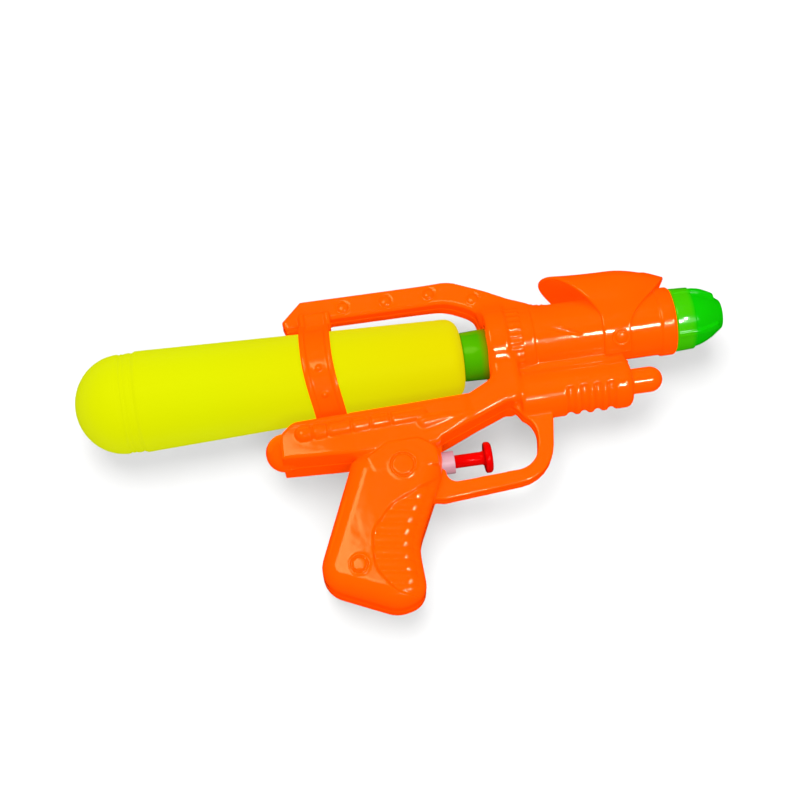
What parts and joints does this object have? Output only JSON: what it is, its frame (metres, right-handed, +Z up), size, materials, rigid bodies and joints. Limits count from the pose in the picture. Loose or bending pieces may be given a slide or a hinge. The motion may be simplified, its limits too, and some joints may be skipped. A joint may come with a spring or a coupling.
{
  "type": "toy water squirter",
  "caption": "Hand-held toy water squirter with a screw-on bottle tank along its back, a push-button piston trigger in a guard, a flared barrel hood and a ribbed nozzle tip.",
  "frame": {"origin": "centre of the bounding box at its lowest point, the toy lying on its left side as pictured", "axes": "+X along the tank towards the nozzle, +Y from the grip to the top rail, +Z up from the table to the right-hand side"},
  "size_m": [0.3026, 0.153, 0.0482],
  "materials": {
    "orange_plastic": "glossy moulded orange",
    "yellow_plastic": "soft-gloss blown bottle, slightly see-through yellow",
    "green_plastic": "glossy moulded green",
    "red_plastic": "glossy moulded red",
    "pink_plastic": "pale see-through pink",
    "white_plastic": "natural white moulding",
    "clear_hose": "soft clear vinyl",
    "black_rubber": "matt rubber",
    "steel": "zinc-plated steel"
  },
  "bodies": {
    "body": {"right_shell": "orange_plastic", "left_shell": "orange_plastic", "barrel_hood": "orange_plastic", "tank_collar": "green_plastic", "nozzle_tip": "green_plastic", "pump_cylinder": "pink_plastic", "pump_gland": "white_plastic", "inlet_valve": "white_plastic", "outlet_valve": "white_plastic", "nozzle_jet": "white_plastic", "suction_hose": "clear_hose", "delivery_hose": "clear_hose", "dip_tube": "clear_hose", "nozzle_seal": "black_rubber", "return_spring": "steel", "shell_screw_1": "steel", "shell_screw_2": "steel", "shell_screw_3": "steel", "shell_screw_4": "steel"},
    "trigger": {"trigger_plunger": "red_plastic", "piston_seal": "black_rubber"},
    "seal": {"tank_seal": "black_rubber"},
    "tank": {"water_tank": "yellow_plastic"},
    "inlet_check": {"inlet_ball": "steel"},
    "outlet_check": {"outlet_ball": "steel"}
  },
  "joints": [
    {"name": "trigger_press", "type": "slide", "parent": "body", "child": "trigger", "axis": [-1, 0, 0], "range_m": [0, 0.012], "stiffness_N_per_m": 150, "deforming": ["return_spring"]},
    {"name": "tank_turn", "type": "hinge", "parent": "body", "child": "seal", "pos_m": [0.03955, 0.03994, 0.02408], "axis": [1, 0, 0], "range_deg": [0, 540]},
    {"name": "tank_draw", "type": "slide", "parent": "seal", "child": "tank", "axis": [-1, 0, 0], "range_m": [0, 0.16]},
    {"name": "inlet_lift", "type": "slide", "parent": "body", "child": "inlet_check", "axis": [-0.8192, -0.4983, -0.2841], "range_m": [0, 0.0008]},
    {"name": "outlet_lift", "type": "slide", "parent": "body", "child": "outlet_check", "axis": [1, 0, 0], "range_m": [0, 0.0008]}
  ]
}
